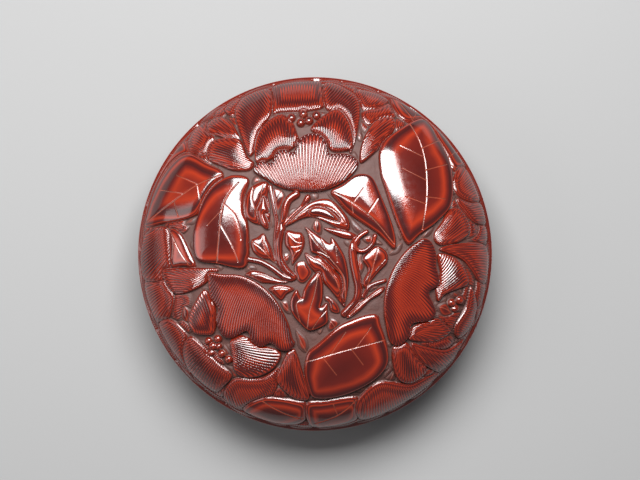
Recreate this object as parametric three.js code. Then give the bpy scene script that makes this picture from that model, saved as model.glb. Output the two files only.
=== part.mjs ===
// Carved lacquer round box: a low, cushion-shaped box with a lift-off lid.
// Wooden bodies built of a disc and stacked hoops carry a thick carved lacquer
// coat outside and a thin black lacquer lining inside. The lid drops over a
// locating flange that stands up inside the base and rests rim on rim.
// Millimetres, +Z up. Origin: centre of the foot ring's standing face.
import * as THREE from "three";

// ---- driving dimensions -------------------------------------------------
const R = 75; //           greatest radius, at the meeting rims
const SEAM = 27.5; //      top of the base rim
const RIM_GAP = 0.3; //    hairline between the closed rims
const LID_SPRING = 29.0; // where the lid wall starts to curve in
const LID_RISE = 29.0; //  from there to the crown
const LID_N = 2.6; //      fullness of the lid's cushion curve
const BASE_SPRING = 26.0; // where the base wall starts to curve in
const BASE_RISE = 26.0; // from there down to where the curve would close
const BASE_N = 3.2; //     fullness of the base's curve
const COAT = 4.2; //       carved lacquer coat
const COAT_TAPER = 2.2; // how much thinner the base's coat is at the foot
const CORE = 3.6; //       wooden body
const LINING = 0.7; //     black lacquer lining
const GLUE = 0.3; //       ground and glue line between bonded layers
const FOOT_OUT = 49.5; //  foot ring, outer radius
const FOOT_IN = 45.7; //   foot ring, inner radius
const PANEL_LOW = 6.2; //  underside of the base disc
const PANEL_R = 48.0; //   radius of the base disc
const BOTTOM_R = 45.4; //  black lacquer under the base disc
const FLANGE_OUT = 64.9; // locating flange, outer radius
const FLANGE_WALL = 2.2;
const FLANGE_LOW = 23.6;
const FLANGE_TOP = 31.6;
const LID_PANEL_R = 44.0; // radius of the lid's domed disc
const SEGMENTS = 48; //     sides of every turned piece

const OUT_OF_CORE = COAT + GLUE; //              depth where the wood starts
const IN_OF_CORE = OUT_OF_CORE + CORE; //        depth where the wood ends
const OUT_OF_LINING = IN_OF_CORE + GLUE; //      depth where the lining starts
const IN_OF_LINING = OUT_OF_LINING + LINING; //  depth of the inner surface

// ---- the cushion curve, as a radius and a height, with its inward normal --
// t runs from 0 at the axis to 1 at the spring line. up is 1 for the lid and
// -1 for the base.
function cushion(t, spring, rise, n, up) {
  const a = (t * Math.PI) / 2;
  const x = Math.pow(Math.sin(a), 2 / n);
  const height = Math.cos(a);
  return [R * x, spring + up * rise * height];
}

function inward(t, depth, spring, rise, n, up) {
  const e = 1e-4;
  const [r0, z0] = cushion(Math.max(t - e, 0), spring, rise, n, up);
  const [r1, z1] = cushion(Math.min(t + e, 1), spring, rise, n, up);
  const [r, z] = cushion(t, spring, rise, n, up);
  let dr = r1 - r0,
    dz = z1 - z0;
  const l = Math.hypot(dr, dz);
  dr /= l;
  dz /= l;
  // the tangent turned towards the inside of the box
  return [r + up * dz * depth, z - up * dr * depth];
}

const lid = (t, depth) => inward(t, depth, LID_SPRING, LID_RISE, LID_N, 1);
// The base's coat thins by COAT_TAPER towards the foot, and what lies behind it
// follows.
function taper(t) {
  const s = Math.min(1, Math.max(0, (t - 0.36) / 0.3));
  return COAT_TAPER * (1 - s * s * (3 - 2 * s));
}
const base = (t, depth) =>
  inward(
    t,
    depth > 0 ? depth - taper(t) : 0,
    BASE_SPRING,
    BASE_RISE,
    BASE_N,
    -1,
  );

// the place on an offset curve with a wanted radius
function atRadius(curve, depth, radius) {
  let lo = 0,
    hi = 1;
  for (let i = 0; i < 60; i++) {
    const m = (lo + hi) / 2;
    if (curve(m, depth)[0] < radius) lo = m;
    else hi = m;
  }
  return (lo + hi) / 2;
}

// the place on an offset curve with a wanted height
function atHeight(curve, depth, height, up) {
  let lo = 0,
    hi = 1;
  for (let i = 0; i < 60; i++) {
    const m = (lo + hi) / 2;
    if (up * (curve(m, depth)[1] - height) > 0) lo = m;
    else hi = m;
  }
  return (lo + hi) / 2;
}

function along(curve, depth, t0, t1, steps) {
  const out = [];
  for (let i = 0; i <= steps; i++)
    out.push(curve(t0 + ((t1 - t0) * i) / steps, depth));
  return out;
}

// ---- turning a section into a solid --------------------------------------
function area(points) {
  let a = 0;
  points.forEach(([r, z], i) => {
    const [r2, z2] = points[(i + 1) % points.length];
    a += r * z2 - r2 * z;
  });
  return a / 2;
}

function turned(name, section, material) {
  const points = section.map(([r, z]) => [Math.abs(r) < 1e-6 ? 0 : r, z]);
  const onAxis = points[0][0] === 0 && points[points.length - 1][0] === 0;
  if (area(points) < 0) points.reverse();
  const ring = points.map(([r, z]) => new THREE.Vector2(r, z));
  if (!onAxis) ring.push(ring[0].clone());
  const geometry = new THREE.LatheGeometry(ring, SEGMENTS);
  geometry.rotateX(Math.PI / 2);
  const mesh = new THREE.Mesh(geometry, material);
  mesh.name = name;
  return mesh;
}

// ---- finishes -------------------------------------------------------------
const finish = (color, roughness) =>
  new THREE.MeshStandardMaterial({ color, roughness, metalness: 0 });
const carvedRed = finish(0x7a160c, 0.22);
const blackLacquer = finish(0x120b0a, 0.2);
const wood = finish(0xa07848, 0.75);

const box = new THREE.Group();
const lidGroup = new THREE.Group();
const baseGroup = new THREE.Group();
box.add(baseGroup, lidGroup);

// ---- lid ------------------------------------------------------------------
const lidRim = SEAM + RIM_GAP;
const lidInner = (depth) => R - depth;

// carved coat, from the crown to the rim
lidGroup.add(
  turned(
    "lid_carved_lacquer",
    [
      ...along(lid, 0, 0, 1, 10),
      [R, lidRim + 0.5],
      [R - 0.5, lidRim],
      [lidInner(COAT), lidRim],
      ...along(lid, COAT, 1, 0, 12),
    ],
    carvedRed,
  ),
);

// domed disc and the hoops of the shoulder and wall
const lidCuts = [LID_PANEL_R, 55, 63.2].map((r) =>
  atRadius(lid, (OUT_OF_CORE + IN_OF_CORE) / 2, r),
);
lidGroup.add(
  turned(
    "lid_core_disc",
    [
      ...along(lid, OUT_OF_CORE, 0, lidCuts[0] - 0.002, 5),
      ...along(lid, IN_OF_CORE, lidCuts[0] - 0.002, 0, 5),
    ],
    wood,
  ),
);
[
  ["lid_core_hoop_upper", lidCuts[0] + 0.002, lidCuts[1] - 0.002],
  ["lid_core_hoop_middle", lidCuts[1] + 0.002, lidCuts[2] - 0.002],
].forEach(([name, t0, t1]) =>
  lidGroup.add(
    turned(
      name,
      [
        ...along(lid, OUT_OF_CORE, t0, t1, 3),
        ...along(lid, IN_OF_CORE, t1, t0, 3),
      ],
      wood,
    ),
  ),
);
lidGroup.add(
  turned(
    "lid_core_hoop_rim",
    [
      ...along(lid, OUT_OF_CORE, lidCuts[2] + 0.002, 1, 4),
      [lidInner(OUT_OF_CORE), lidRim],
      [lidInner(IN_OF_CORE), lidRim],
      ...along(lid, IN_OF_CORE, 1, lidCuts[2] + 0.002, 4),
    ],
    wood,
  ),
);

// black lining
lidGroup.add(
  turned(
    "lid_lining",
    [
      ...along(lid, OUT_OF_LINING, 0, 1, 12),
      [lidInner(OUT_OF_LINING), lidRim],
      [lidInner(IN_OF_LINING), lidRim],
      ...along(lid, IN_OF_LINING, 1, 0, 12),
    ],
    blackLacquer,
  ),
);

// ---- base -----------------------------------------------------------------
// The coat thins towards the foot, where it meets the foot ring's side.
const coatFoot = atRadius(base, 0, FOOT_OUT + 0.3);
const coatFootIn = atHeight(base, COAT, PANEL_LOW - GLUE, -1);
const panelTop = PANEL_LOW + CORE;
baseGroup.add(
  turned(
    "base_carved_lacquer",
    [
      ...along(base, 0, coatFoot, 1, 7),
      [R, SEAM - 0.5],
      [R - 0.5, SEAM],
      [R - COAT, SEAM],
      ...along(base, COAT, 1, coatFootIn, 12),
      [FOOT_OUT + 0.3, PANEL_LOW - GLUE],
    ],
    carvedRed,
  ),
);

// wooden disc and hoops
baseGroup.add(
  turned(
    "base_core_disc",
    [
      [0, PANEL_LOW],
      [PANEL_R, PANEL_LOW],
      [PANEL_R, panelTop],
      [0, panelTop],
    ],
    wood,
  ),
);
const hoopLow = atHeight(base, OUT_OF_CORE, PANEL_LOW, -1);
const hoopMid = 13.2;
const hoopHigh = 19.6;
const half = 0.1;
baseGroup.add(
  turned(
    "base_core_hoop_lower",
    [
      [PANEL_R + GLUE, PANEL_LOW],
      ...along(
        base,
        OUT_OF_CORE,
        hoopLow,
        atHeight(base, OUT_OF_CORE, hoopMid - half, -1),
        5,
      ),
      ...along(
        base,
        IN_OF_CORE,
        atHeight(base, IN_OF_CORE, hoopMid - half, -1),
        atHeight(base, IN_OF_CORE, panelTop, -1),
        3,
      ),
      [PANEL_R + GLUE, panelTop],
    ].filter(
      ([r, z], i, all) =>
        i === 0 || Math.hypot(r - all[i - 1][0], z - all[i - 1][1]) > 0.05,
    ),
    wood,
  ),
);
baseGroup.add(
  turned(
    "base_core_hoop_middle",
    [
      ...along(
        base,
        OUT_OF_CORE,
        atHeight(base, OUT_OF_CORE, hoopMid + half, -1),
        atHeight(base, OUT_OF_CORE, hoopHigh - half, -1),
        3,
      ),
      ...along(
        base,
        IN_OF_CORE,
        atHeight(base, IN_OF_CORE, hoopHigh - half, -1),
        atHeight(base, IN_OF_CORE, hoopMid + half, -1),
        3,
      ),
    ],
    wood,
  ),
);
baseGroup.add(
  turned(
    "base_core_hoop_rim",
    [
      ...along(
        base,
        OUT_OF_CORE,
        atHeight(base, OUT_OF_CORE, hoopHigh + half, -1),
        1,
        3,
      ),
      [R - OUT_OF_CORE, SEAM],
      [R - IN_OF_CORE, SEAM],
      ...along(
        base,
        IN_OF_CORE,
        1,
        atHeight(base, IN_OF_CORE, hoopHigh + half, -1),
        3,
      ),
    ],
    wood,
  ),
);

// black lining: a cup with a flat floor
const floorLow = panelTop + GLUE;
const floorTop = floorLow + LINING;
baseGroup.add(
  turned(
    "base_lining",
    [
      [0, floorLow],
      base(atHeight(base, OUT_OF_LINING, floorLow, -1), OUT_OF_LINING),
      ...along(
        base,
        OUT_OF_LINING,
        atHeight(base, OUT_OF_LINING, floorLow, -1),
        1,
        9,
      ).slice(1),
      [R - OUT_OF_LINING, SEAM],
      [R - IN_OF_LINING, SEAM],
      ...along(
        base,
        IN_OF_LINING,
        1,
        atHeight(base, IN_OF_LINING, floorTop, -1),
        9,
      ),
      [0, floorTop],
    ],
    blackLacquer,
  ),
);

// locating flange, with a chamfered mouth
baseGroup.add(
  turned(
    "base_locating_flange",
    [
      [FLANGE_OUT, FLANGE_LOW],
      [FLANGE_OUT, FLANGE_TOP - 0.6],
      [FLANGE_OUT - 0.6, FLANGE_TOP],
      [FLANGE_OUT - FLANGE_WALL, FLANGE_TOP],
      [FLANGE_OUT - FLANGE_WALL, FLANGE_LOW],
    ],
    blackLacquer,
  ),
);

// foot ring and the black lacquer of the underside
baseGroup.add(
  turned(
    "base_foot_ring",
    [
      [FOOT_IN, 0.4],
      [FOOT_IN + 0.4, 0],
      [FOOT_OUT - 0.6, 0],
      [FOOT_OUT, 0.6],
      [FOOT_OUT, PANEL_LOW - GLUE],
      [FOOT_IN, PANEL_LOW - GLUE],
    ],
    blackLacquer,
  ),
);
baseGroup.add(
  turned(
    "base_bottom_lacquer",
    [
      [0, PANEL_LOW - GLUE - LINING],
      [BOTTOM_R, PANEL_LOW - GLUE - LINING],
      [BOTTOM_R, PANEL_LOW - GLUE],
      [0, PANEL_LOW - GLUE],
    ],
    blackLacquer,
  ),
);

export default box;
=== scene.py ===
"""Carved lacquer round box: the carved relief, the smooth lacquered pieces, the
materials, the lights, the floor and the camera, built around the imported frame."""

import math

import bpy
import numpy as np
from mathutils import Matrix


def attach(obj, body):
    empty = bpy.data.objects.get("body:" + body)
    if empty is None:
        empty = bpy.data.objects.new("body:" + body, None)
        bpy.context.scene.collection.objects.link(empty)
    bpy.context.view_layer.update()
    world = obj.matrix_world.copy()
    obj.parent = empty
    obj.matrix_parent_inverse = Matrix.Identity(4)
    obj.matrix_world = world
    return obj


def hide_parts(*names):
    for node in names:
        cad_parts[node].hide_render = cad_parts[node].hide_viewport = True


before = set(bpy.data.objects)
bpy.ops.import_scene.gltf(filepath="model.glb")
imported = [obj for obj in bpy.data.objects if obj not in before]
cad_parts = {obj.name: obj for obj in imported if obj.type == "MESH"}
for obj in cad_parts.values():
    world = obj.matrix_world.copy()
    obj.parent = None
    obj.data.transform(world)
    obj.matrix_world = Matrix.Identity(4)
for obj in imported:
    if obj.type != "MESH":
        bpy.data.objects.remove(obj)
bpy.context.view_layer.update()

# ---------------------------------------------------------------- dimensions
MM = 0.001
R = 75.0
SEAM = 27.5
RIM_GAP = 0.3
LID_SPRING, LID_RISE, LID_N = 29.0, 29.0, 2.6
BASE_SPRING, BASE_RISE, BASE_N = 26.0, 26.0, 3.2
COAT, COAT_TAPER, CORE, LINING, GLUE = 4.2, 2.2, 3.6, 0.7, 0.3
FOOT_OUT, FOOT_IN = 49.5, 45.7
PANEL_LOW = 6.2
BOTTOM_R = 45.4
FLANGE_OUT, FLANGE_WALL, FLANGE_LOW, FLANGE_TOP = 64.9, 2.2, 23.6, 31.6
OUT_OF_CORE = COAT + GLUE
IN_OF_CORE = OUT_OF_CORE + CORE
OUT_OF_LINING = IN_OF_CORE + GLUE
IN_OF_LINING = OUT_OF_LINING + LINING
LID_RIM = SEAM + RIM_GAP


def cushion(t, spring, rise, n, up):
    a = t * math.pi / 2
    return R * np.sin(a) ** (2 / n), spring + up * rise * np.cos(a)


def cushion_normal(t, spring, rise, n, up):
    e = 1e-4
    r0, z0 = cushion(np.maximum(t - e, 0), spring, rise, n, up)
    r1, z1 = cushion(np.minimum(t + e, 1), spring, rise, n, up)
    dr, dz = r1 - r0, z1 - z0
    length = np.hypot(dr, dz)
    return -up * dz / length, up * dr / length  # outward


def taper(t):
    s = np.clip((t - 0.36) / 0.3, 0, 1)
    return COAT_TAPER * (1 - s * s * (3 - 2 * s))


def lid_curve(t, depth=0.0):
    t = np.asarray(t, float)
    r, z = cushion(t, LID_SPRING, LID_RISE, LID_N, 1)
    nr, nz = cushion_normal(t, LID_SPRING, LID_RISE, LID_N, 1)
    return r - nr * depth, z - nz * depth


def base_curve(t, depth=0.0):
    t = np.asarray(t, float)
    d = depth - taper(t) if depth > 0 else 0.0
    r, z = cushion(t, BASE_SPRING, BASE_RISE, BASE_N, -1)
    nr, nz = cushion_normal(t, BASE_SPRING, BASE_RISE, BASE_N, -1)
    return r - nr * d, z - nz * d


# ------------------------------------------------------------ carved design
# The design is drawn on a flat disc whose centre is (CX, CY) and whose rim is
# 177.5 units out; y grows downwards. Heights are in millimetres above the
# lowest cut ground; TOP is the uncarved surface of the coat.
CX, CY, RIM = 315.0, 254.0, 177.5
UNIT = R / RIM
TOP = 3.1
S = 4
HALF = 194
X0, Y0 = CX - HALF, CY - HALF
SIZE = int(2 * HALF * S) + 1

height = np.full((SIZE, SIZE), 0.25, np.float32)
vein = np.zeros((SIZE, SIZE), np.float32)
cut = np.zeros((SIZE, SIZE), np.float32)  # 1 where the surface is cut ground


def K(points):
    """Points traced at 4.2378 times the disc's own scale."""
    return [(130 + x / 4.2378, 70 + y / 4.2378) for x, y in points]


def smooth(points, closed=True, sub=6):
    """Catmull-Rom through the points."""
    p = np.array(points, float)
    n = len(p)
    out = []
    rng = range(n) if closed else range(n - 1)
    for i in rng:
        if closed:
            a, b, c, d = p[(i - 1) % n], p[i], p[(i + 1) % n], p[(i + 2) % n]
        else:
            a, b, c, d = p[max(i - 1, 0)], p[i], p[i + 1], p[min(i + 2, n - 1)]
        for k in range(sub):
            t = k / sub
            out.append(
                0.5
                * (
                    2 * b
                    + (c - a) * t
                    + (2 * a - 5 * b + 4 * c - d) * t * t
                    + (3 * b - a - 3 * c + d) * t**3
                )
            )
    if not closed:
        out.append(p[-1])
    return np.array(out)


def window(poly, margin):
    x0 = int(max(0, (poly[:, 0].min() - margin - X0) * S))
    y0 = int(max(0, (poly[:, 1].min() - margin - Y0) * S))
    x1 = int(min(SIZE - 1, (poly[:, 0].max() + margin - X0) * S))
    y1 = int(min(SIZE - 1, (poly[:, 1].max() + margin - Y0) * S))
    return x0, y0, x1 + 1, y1 + 1


def distance(poly, win, closed):
    """Distance to a polyline, on a grid half as fine, brought up to the field."""
    x0, y0, x1, y1 = win
    gx = np.arange(x0, x1 + 2, 2, dtype=np.float32) / S + X0
    gy = np.arange(y0, y1 + 2, 2, dtype=np.float32) / S + Y0
    px, py = np.meshgrid(gx.astype(np.float32), gy.astype(np.float32))
    best = np.full(px.shape, 1e9, np.float32)
    inside = np.zeros(px.shape, bool)
    a = poly
    b = np.roll(poly, -1, axis=0)
    if not closed:
        a, b = a[:-1], b[:-1]
    for (ax, ay), (bx, by) in zip(a, b):
        dx, dy = bx - ax, by - ay
        l2 = dx * dx + dy * dy + 1e-9
        t = np.clip(((px - ax) * dx + (py - ay) * dy) / l2, 0, 1)
        qx, qy = px - ax - t * dx, py - ay - t * dy
        np.minimum(best, qx * qx + qy * qy, out=best)
        if closed and abs(by - ay) > 1e-9:
            hit = (ay > py) != (by > py)
            inside ^= hit & (px < ax + (py - ay) / (by - ay) * dx)
    d = np.sqrt(best)
    if closed:
        d = np.where(inside, d, -d)
    # bilinear up to the full field
    w, h = x1 - x0, y1 - y0
    fx = np.arange(w) / 2.0
    fy = np.arange(h) / 2.0
    ix = np.minimum(fx.astype(int), d.shape[1] - 2)
    iy = np.minimum(fy.astype(int), d.shape[0] - 2)
    tx = (fx - ix).astype(np.float32)[None, :]
    ty = (fy - iy).astype(np.float32)[:, None]
    top = d[iy][:, ix] * (1 - tx) + d[iy][:, ix + 1] * tx
    low = d[iy + 1][:, ix] * (1 - tx) + d[iy + 1][:, ix + 1] * tx
    return top * (1 - ty) + low * ty


def coords(win):
    x0, y0, x1, y1 = win
    return np.meshgrid(
        np.arange(x0, x1, dtype=np.float32) / S + X0,
        np.arange(y0, y1, dtype=np.float32) / S + Y0,
    )


def form(
    points,
    level,
    dome=0.6,
    edge=1.6,
    tilt=(0, 0),
    ribs=None,
    veins=(),
    hollow=0.0,
    under=0.95,
    rise=9.0,
    floor=0.6,
    sharp=False,
):
    """One carved petal or leaf, laid over what is already there.

    level: height of its edge; dome: how much higher its middle is; tilt: mm
    across 30 units towards the upper left, as (x, y); ribs: (focus, pitch,
    bend, depth); veins: strokes of (points, width, depth); hollow: a dish in
    the middle; under: how deep the ground is cut in beside its edge."""
    poly = np.array(points, float) if sharp else smooth(points)
    win = window(poly, 7)
    x0, y0, x1, y1 = win
    if x1 - x0 < 4 or y1 - y0 < 4:
        return
    d = distance(poly, win, True)
    px, py = coords(win)
    H = height[y0:y1, x0:x1]
    V = vein[y0:y1, x0:x1]
    C = cut[y0:y1, x0:x1]
    cx, cy = poly.mean(axis=0)
    di = np.maximum(d, 0)
    h = level - floor * np.exp(-di / edge * 1.3)
    h = h + dome * (1 - np.exp(-((di / rise) ** 1.4)))
    if hollow:
        h = h - hollow * (1 - np.exp(-((np.maximum(di - 2.5, 0) / rise) ** 2)))
    h = h + tilt[0] * (px - cx) / 30 + tilt[1] * (py - cy) / 30
    if ribs:
        (fx, fy), pitch, bend, depth = ribs
        rx, ry = px - fx, py - fy
        phi0 = math.atan2(cy - fy, cx - fx)
        rr = np.hypot(rx, ry)
        rref = math.hypot(cx - fx, cy - fy)
        phi = np.arctan2(ry, rx) - phi0
        phi = (phi + math.pi) % (2 * math.pi) - math.pi
        u = (phi + bend * (rr / rref - 1)) * rref / pitch
        wave = np.abs(np.sin(math.pi * u))
        groove = (1 - wave) ** 1.6
        fade = np.clip((d - 0.6) / 1.6, 0, 1)
        h = h - 1.3 * depth * groove * fade
    line = np.zeros_like(h)
    for stroke, width, depth in veins:
        sp = smooth(stroke, closed=False)
        sw = window(sp, width * 2 + 2)
        sx0, sy0 = max(sw[0], x0), max(sw[1], y0)
        sx1, sy1 = min(sw[2], x1), min(sw[3], y1)
        if sx1 - sx0 < 3 or sy1 - sy0 < 3:
            continue
        ds = distance(sp, (sx0, sy0, sx1, sy1), False)
        k = np.clip(1 - ds / width, 0, 1)
        sl = (slice(sy0 - y0, sy1 - y0), slice(sx0 - x0, sx1 - x0))
        h[sl] -= depth * k**0.7
        line[sl] = np.maximum(line[sl], k)
    h = np.minimum(h, TOP + 0.05)
    inside = d > 0
    # the cut-in beside the edge
    side = np.exp(np.minimum(d, 0) / 1.7)
    low = H - under * side
    low = np.maximum(low, np.minimum(H, 0.1))
    H[...] = np.where(inside, h, low)
    V[...] = np.where(inside, line, V * (1 - 0.6 * side))
    C[...] = np.where(inside, 0, np.maximum(C, np.clip(side * 1.5 - 0.75, 0, 1)))


def stem(points, level, width, taper_to=1.0, under=0.4):
    """A rounded stalk along a stroke."""
    sp = smooth(points, closed=False)
    win = window(sp, width + 6)
    x0, y0, x1, y1 = win
    d = distance(sp, win, False)
    H = height[y0:y1, x0:x1]
    C = cut[y0:y1, x0:x1]
    V = vein[y0:y1, x0:x1]
    k = np.clip(d / width, 0, 1)
    h = level - 0.9 * width * UNIT * (1 - np.sqrt(1 - k * k))
    side = np.exp(-np.maximum(d - width, 0) / 1.5)
    inside = d < width
    low = np.maximum(H - under * side, np.minimum(H, 0.1))
    H[...] = np.where(inside, np.maximum(h, low), low)
    V[...] = np.where(inside, 0, V)
    C[...] = np.where(inside, 0, C)


def bead(x, y, r, level):
    poly = np.array([(x, y), (x + 0.01, y)])
    win = window(poly, r + 5)
    x0, y0, x1, y1 = win
    px, py = coords(win)
    d = np.hypot(px - x, py - y)
    H = height[y0:y1, x0:x1]
    C = cut[y0:y1, x0:x1]
    k = np.clip(d / r, 0, 1)
    h = level - r * UNIT * (1 - np.sqrt(1 - k * k))
    side = np.exp(-np.maximum(d - r, 0) / 1.2)
    low = np.maximum(H - 0.5 * side, np.minimum(H, 0.1))
    H[...] = np.where(d < r, np.maximum(h, low), low)
    C[...] = np.where(d < r, 0, C)


def rnd(seed):
    return np.random.default_rng(seed)


# -- undergrowth at the rim, which shows wherever nothing else lies over it
g = rnd(7)
for ring_r, count, lev in ((188, 34, 1.5), (168, 30, 1.35), (150, 26, 1.1)):
    for i in range(count):
        a = 2 * math.pi * (i + 0.3 * g.uniform(-1, 1)) / count
        w = 2 * math.pi * ring_r / count * 0.62
        ux, uy = math.cos(a), math.sin(a)
        vx, vy = -uy, ux
        long = 19 + 3 * g.uniform(-1, 1)
        lean = g.uniform(-6, 6)
        pts = []
        for s, l in (
            (-0.45, -long),
            (-1.0, -long * 0.2),
            (-0.85, long * 0.7),
            (0.0, long),
            (0.85, long * 0.7),
            (1.0, -long * 0.2),
            (0.45, -long),
        ):
            pts.append(
                (
                    CX + ux * (ring_r + l) + vx * (s * w + lean * l / long),
                    CY + uy * (ring_r + l) + vy * (s * w + lean * l / long),
                )
            )
        focus = (CX + ux * (ring_r - long * 3.2), CY + uy * (ring_r - long * 3.2))
        form(
            pts,
            lev + g.uniform(-0.15, 0.25),
            dome=0.7,
            ribs=(focus, 2.3, g.uniform(-0.25, 0.25), 0.22),
        )

# -- low leaves on the ground between the large forms
for i in range(95):
    rr = 150 * math.sqrt((i + 0.5) / 95)
    a = i * 2.399963 + 0.4 * g.uniform(-1, 1)
    lx, ly = CX + rr * math.cos(a), CY + rr * math.sin(a)
    turn = g.uniform(0, 2 * math.pi)
    long, wide = g.uniform(9, 15), g.uniform(4.5, 7)
    ux, uy = math.cos(turn), math.sin(turn)
    leaf = [(-long, 0), (-long * 0.4, wide * 0.9), (long * 0.3, wide), (long, wide * 0.1), (long * 0.4, -wide * 0.7), (-long * 0.3, -wide)]
    form([(lx + ux * p - uy * q, ly + uy * p + ux * q) for p, q in leaf], 0.75 + g.uniform(0, 0.35), dome=0.45, rise=4, under=0.6, floor=0.4,
         veins=[([(lx - ux * long * 0.8, ly - uy * long * 0.8), (lx + uy * 0.6, ly - ux * 0.6), (lx + ux * long * 0.8, ly + uy * long * 0.8)], 0.5, 0.2)])

# -- larger forms along the rim, clockwise from the upper left
form(
    K([(60, 720), (30, 600), (70, 480), (150, 360), (240, 290), (320, 330), (350, 400), (250, 470), (150, 620)]),
    1.9, dome=0.9, tilt=(-0.25, -0.25), rise=12,
    veins=[(K([(60, 700), (160, 560), (330, 420)]), 0.55, 0.22),
           (K([(110, 620), (60, 560)]), 0.45, 0.18),
           (K([(160, 560), (120, 470)]), 0.45, 0.18),
           (K([(220, 500), (200, 400)]), 0.45, 0.18)],
)
form(K([(240, 300), (262, 236), (315, 212), (352, 262), (345, 330), (300, 360), (250, 345)]), 1.9,
     ribs=(K([(420, 420)])[0], 2.4, 0.15, 0.24))
form(K([(322, 222), (372, 190), (420, 215), (455, 262), (480, 330), (440, 312), (380, 282), (330, 262)]), 1.8,
     ribs=(K([(560, 400)])[0], 2.2, 0.1, 0.22))
form(K([(395, 160), (440, 110), (520, 70), (600, 50), (610, 120), (560, 150), (470, 160), (430, 190)]), 1.9,
     ribs=(K([(640, 330)])[0], 2.3, 0.1, 0.24))
form(K([(815, 52), (880, 40), (960, 62), (1010, 100), (985, 160), (940, 190), (900, 140), (840, 108)]), 2.0,
     ribs=(K([(760, 330)])[0], 2.3, -0.1, 0.24))
form(K([(960, 78), (1040, 82), (1105, 118), (1070, 160), (1010, 180), (975, 150)]), 1.8,
     ribs=(K([(860, 260)])[0], 2.2, 0.2, 0.22))
form(K([(980, 180), (1050, 160), (1110, 130), (1130, 190), (1080, 215), (1010, 240)]), 1.6,
     ribs=(K([(900, 330)])[0], 2.2, 0.2, 0.22))
form(
    K([(1110, 105), (1200, 120), (1310, 200), (1410, 330), (1480, 460), (1440, 500), (1380, 430), (1300, 330), (1215, 245), (1140, 190)]),
    2.0, dome=0.8, rise=10,
    veins=[(K([(1130, 120), (1200, 210), (1290, 300), (1390, 430)]), 0.55, 0.22),
           (K([(1200, 210), (1230, 150)]), 0.45, 0.18),
           (K([(1280, 290), (1310, 220)]), 0.45, 0.18),
           (K([(1350, 370), (1400, 330)]), 0.45, 0.18)],
)
form(K([(1368, 480), (1400, 410), (1450, 410), (1500, 500), (1510, 560), (1450, 560), (1395, 535)]), 1.9,
     ribs=(K([(1300, 560)])[0], 2.3, 0.15, 0.24))
form(K([(1385, 545), (1450, 560), (1530, 560), (1550, 640), (1480, 650), (1420, 610)]), 1.8,
     ribs=(K([(1280, 600)])[0], 2.3, 0.15, 0.24))
form(K([(1282, 700), (1318, 645), (1345, 598), (1392, 585), (1432, 630), (1440, 690), (1380, 735), (1305, 742)]), 1.9,
     ribs=(K([(1180, 780)])[0], 2.2, 0.2, 0.24))
form(K([(1305, 760), (1400, 735), (1500, 735), (1560, 790), (1550, 900), (1490, 900), (1450, 850), (1400, 800)]), 1.8,
     ribs=(K([(1180, 740)])[0], 2.3, 0.1, 0.24))
form(K([(45, 890), (130, 870), (185, 950), (160, 1060), (110, 1110), (60, 1020), (30, 950)]), 1.8,
     ribs=(K([(300, 860)])[0], 2.6, 0.1, 0.24))
form(K([(20, 760), (70, 680), (150, 665), (175, 730), (182, 830), (130, 892), (40, 890), (10, 830)]), 2.0,
     ribs=(K([(260, 560)])[0], 2.6, -0.25, 0.3))
form(
    K([(172, 676), (215, 690), (250, 750), (285, 836), (230, 830), (180, 838), (172, 760)]), 2.0, dome=0.4,
    veins=[(K([(180, 690), (215, 760), (260, 830)]), 0.7, 0.3), (K([(195, 725), (185, 800)]), 0.5, 0.2)],
)
form(K([(105, 1090), (170, 1060), (245, 1130), (262, 1230), (330, 1310), (425, 1330), (380, 1400), (270, 1330), (160, 1210)]),
     1.6, ribs=(K([(560, 900)])[0], 2.4, 0.1, 0.22))
form(K([(390, 1390), (440, 1310), (560, 1300), (640, 1250), (620, 1350), (550, 1440), (440, 1470)]), 1.7,
     ribs=(K([(420, 1040)])[0], 2.4, 0.2, 0.24))
form(K([(470, 1460), (560, 1390), (700, 1400), (760, 1420), (735, 1500), (600, 1530)]), 1.8, dome=0.6,
     veins=[(K([(560, 1400), (650, 1450), (735, 1480)]), 0.6, 0.25)])
form(K([(745, 1420), (830, 1400), (960, 1385), (1000, 1440), (930, 1520), (780, 1545)]), 1.7, dome=0.7,
     veins=[(K([(960, 1395), (880, 1460), (780, 1500)]), 0.6, 0.25), (K([(880, 1460), (860, 1410)]), 0.45, 0.2)])
form(K([(975, 1385), (1060, 1320), (1180, 1330), (1300, 1290), (1350, 1270), (1290, 1370), (1170, 1450), (1020, 1520), (960, 1460)]),
     1.7, ribs=(K([(1060, 1060)])[0], 2.4, 0.1, 0.22))
form(K([(1108, 1180), (1165, 1150), (1225, 1215), (1262, 1275), (1195, 1330), (1128, 1300)]), 2.0,
     ribs=(K([(1120, 1060)])[0], 2.2, -0.2, 0.26))
form(K([(1190, 1155), (1260, 1175), (1350, 1190), (1430, 1150), (1400, 1240), (1330, 1290), (1262, 1260), (1215, 1215)]), 1.8,
     ribs=(K([(1110, 1100)])[0], 2.3, -0.15, 0.24))

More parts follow.
